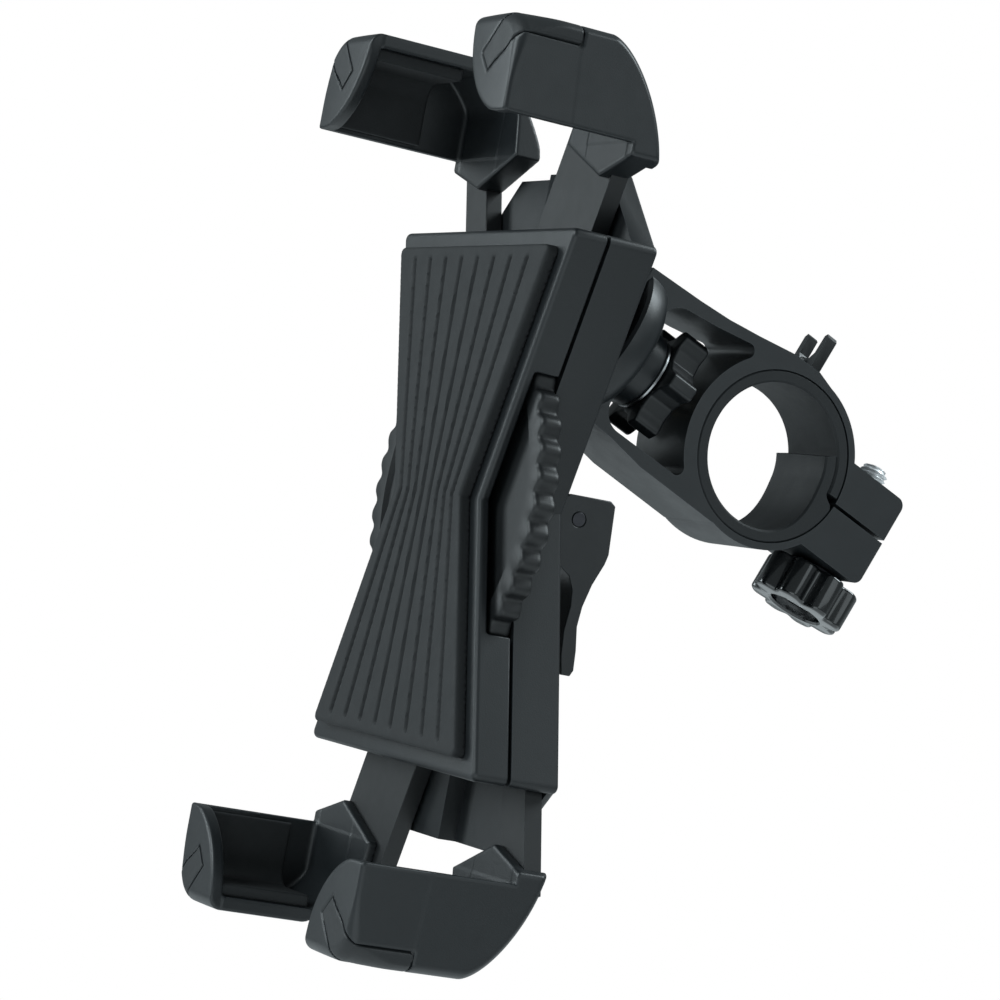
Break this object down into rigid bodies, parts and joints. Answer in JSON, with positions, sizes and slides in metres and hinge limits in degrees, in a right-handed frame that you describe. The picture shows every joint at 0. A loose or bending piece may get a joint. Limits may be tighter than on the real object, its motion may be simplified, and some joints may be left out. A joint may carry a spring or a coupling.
{
  "type": "bicycle phone mount",
  "caption": "Bicycle phone mount: a rubber-lined handlebar clamp carries a ball joint and an X-shaped cradle, whose corner claws move in and out together when its thumb wheel is turned.",
  "frame": {"origin": "centre of the handlebar clamp's bore, halfway along its width", "axes": "+X along the handlebar, +Y away from the phone towards the handlebar's far side, +Z along the length of the phone, towards its top"},
  "size_m": [0.073, 0.1006, 0.1472],
  "materials": {
    "frame_plastic": "satin moulded",
    "shell_plastic": "fine spark texture",
    "claw_plastic": "fine spark texture",
    "accent_plastic": "fine spark texture",
    "arm_plastic": "smooth moulded",
    "wheel_plastic": "satin moulded",
    "gear_plastic": "smooth moulded",
    "lever_plastic": "satin moulded",
    "ball_plastic": "satin moulded",
    "nut_plastic": "satin moulded",
    "knob_plastic": "polished",
    "liner_rubber": "matte",
    "pad_rubber": "matte, fine ribs",
    "steel": "zinc plated",
    "dark_steel": "black oxide",
    "bright_steel": "bright plated",
    "brass": "machined"
  },
  "bodies": {
    "clamp": {"clamp_frame": "frame_plastic", "ring_liner": "liner_rubber", "pinch_nut": "steel", "star_washer": "steel"},
    "clamp_screw": {"clamp_bolt": "bright_steel", "clamp_knob": "knob_plastic", "knob_washer": "dark_steel"},
    "wing": {"wing_screw": "nut_plastic"},
    "nut": {"star_nut": "nut_plastic", "star_nut_insert": "brass"},
    "stem": {"ball_stud": "steel"},
    "ball_washer": {"slot_washer": "steel"},
    "cradle": {"ball_dome": "ball_plastic", "back_shell": "shell_plastic", "front_shell": "shell_plastic", "front_pad": "pad_rubber", "draw_bolt": "steel", "cam_plate": "steel", "lever_pin": "dark_steel", "shell_screws": "steel"},
    "wheel": {"thumb_wheel": "wheel_plastic", "pinion": "gear_plastic"},
    "lever": {"cam_lever": "lever_plastic"},
    "corner_upper_right": {"arm_upper_right": "arm_plastic", "claw_upper_right": "claw_plastic", "accent_upper_right": "accent_plastic", "pad_upper_right": "pad_rubber", "screw_upper_right": "steel"},
    "corner_upper_left": {"arm_upper_left": "arm_plastic", "claw_upper_left": "claw_plastic", "accent_upper_left": "accent_plastic", "pad_upper_left": "pad_rubber", "screw_upper_left": "steel"},
    "corner_lower_right": {"arm_lower_right": "arm_plastic", "claw_lower_right": "claw_plastic", "accent_lower_right": "accent_plastic", "pad_lower_right": "pad_rubber", "screw_lower_right": "steel"},
    "corner_lower_left": {"arm_lower_left": "arm_plastic", "claw_lower_left": "claw_plastic", "accent_lower_left": "accent_plastic", "pad_lower_left": "pad_rubber", "screw_lower_left": "steel"}
  },
  "joints": [
    {"name": "swivel", "type": "hinge", "parent": "clamp", "child": "stem", "pos_m": [0, -0.03782, 0.01582], "axis": [0, 0.9225, -0.3859], "continuous": true},
    {"name": "tilt", "type": "hinge", "parent": "stem", "child": "ball_washer", "pos_m": [0, -0.03782, 0.01582], "axis": [1, 0, 0], "range_deg": [-46, 1.5]},
    {"name": "spin", "type": "hinge", "parent": "ball_washer", "child": "cradle", "pos_m": [0, -0.03782, 0.01582], "axis": [0, 1, 0], "continuous": true},
    {"name": "clamp_knob_turn", "type": "hinge", "parent": "clamp", "child": "clamp_screw", "pos_m": [0, 0.01522, -0.02154], "axis": [0, 0.3859, 0.9225], "continuous": true},
    {"name": "wing_turn", "type": "hinge", "parent": "clamp", "child": "wing", "pos_m": [-0.0017, 0.00833, 0.01603], "axis": [0, 0.3859, 0.9225], "continuous": true},
    {"name": "star_nut_turn", "type": "hinge", "parent": "clamp", "child": "nut", "pos_m": [0, -0.01937, 0.0081], "axis": [0, 0.9225, -0.3859], "continuous": true},
    {"name": "wheel_turn", "type": "hinge", "parent": "cradle", "child": "wheel", "pos_m": [0, -0.0509, -0.0168], "axis": [0, 1, 0], "range_deg": [-100, 122]},
    {"name": "lever_swing", "type": "hinge", "parent": "cradle", "child": "lever", "pos_m": [0, -0.0348, -0.0168], "axis": [1, 0, 0], "range_deg": [0, 78]},
    {"name": "slide_upper_right", "type": "slide", "parent": "cradle", "child": "corner_upper_right", "axis": [0.3584, 0, 0.9336], "range_m": [-0.0098, 0.012]},
    {"name": "slide_upper_left", "type": "slide", "parent": "cradle", "child": "corner_upper_left", "axis": [-0.3584, 0, 0.9336], "range_m": [-0.0098, 0.012]},
    {"name": "slide_lower_right", "type": "slide", "parent": "cradle", "child": "corner_lower_right", "axis": [0.3584, 0, -0.9336], "range_m": [-0.0098, 0.012]},
    {"name": "slide_lower_left", "type": "slide", "parent": "cradle", "child": "corner_lower_left", "axis": [-0.3584, 0, -0.9336], "range_m": [-0.0098, 0.012]}
  ],
  "couplings": [
    {"joint": "slide_upper_right", "follows": "wheel_turn", "m_per_rad": 0.0055},
    {"joint": "slide_upper_left", "follows": "wheel_turn", "m_per_rad": 0.0055},
    {"joint": "slide_lower_right", "follows": "wheel_turn", "m_per_rad": 0.0055},
    {"joint": "slide_lower_left", "follows": "wheel_turn", "m_per_rad": 0.0055}
  ]
}
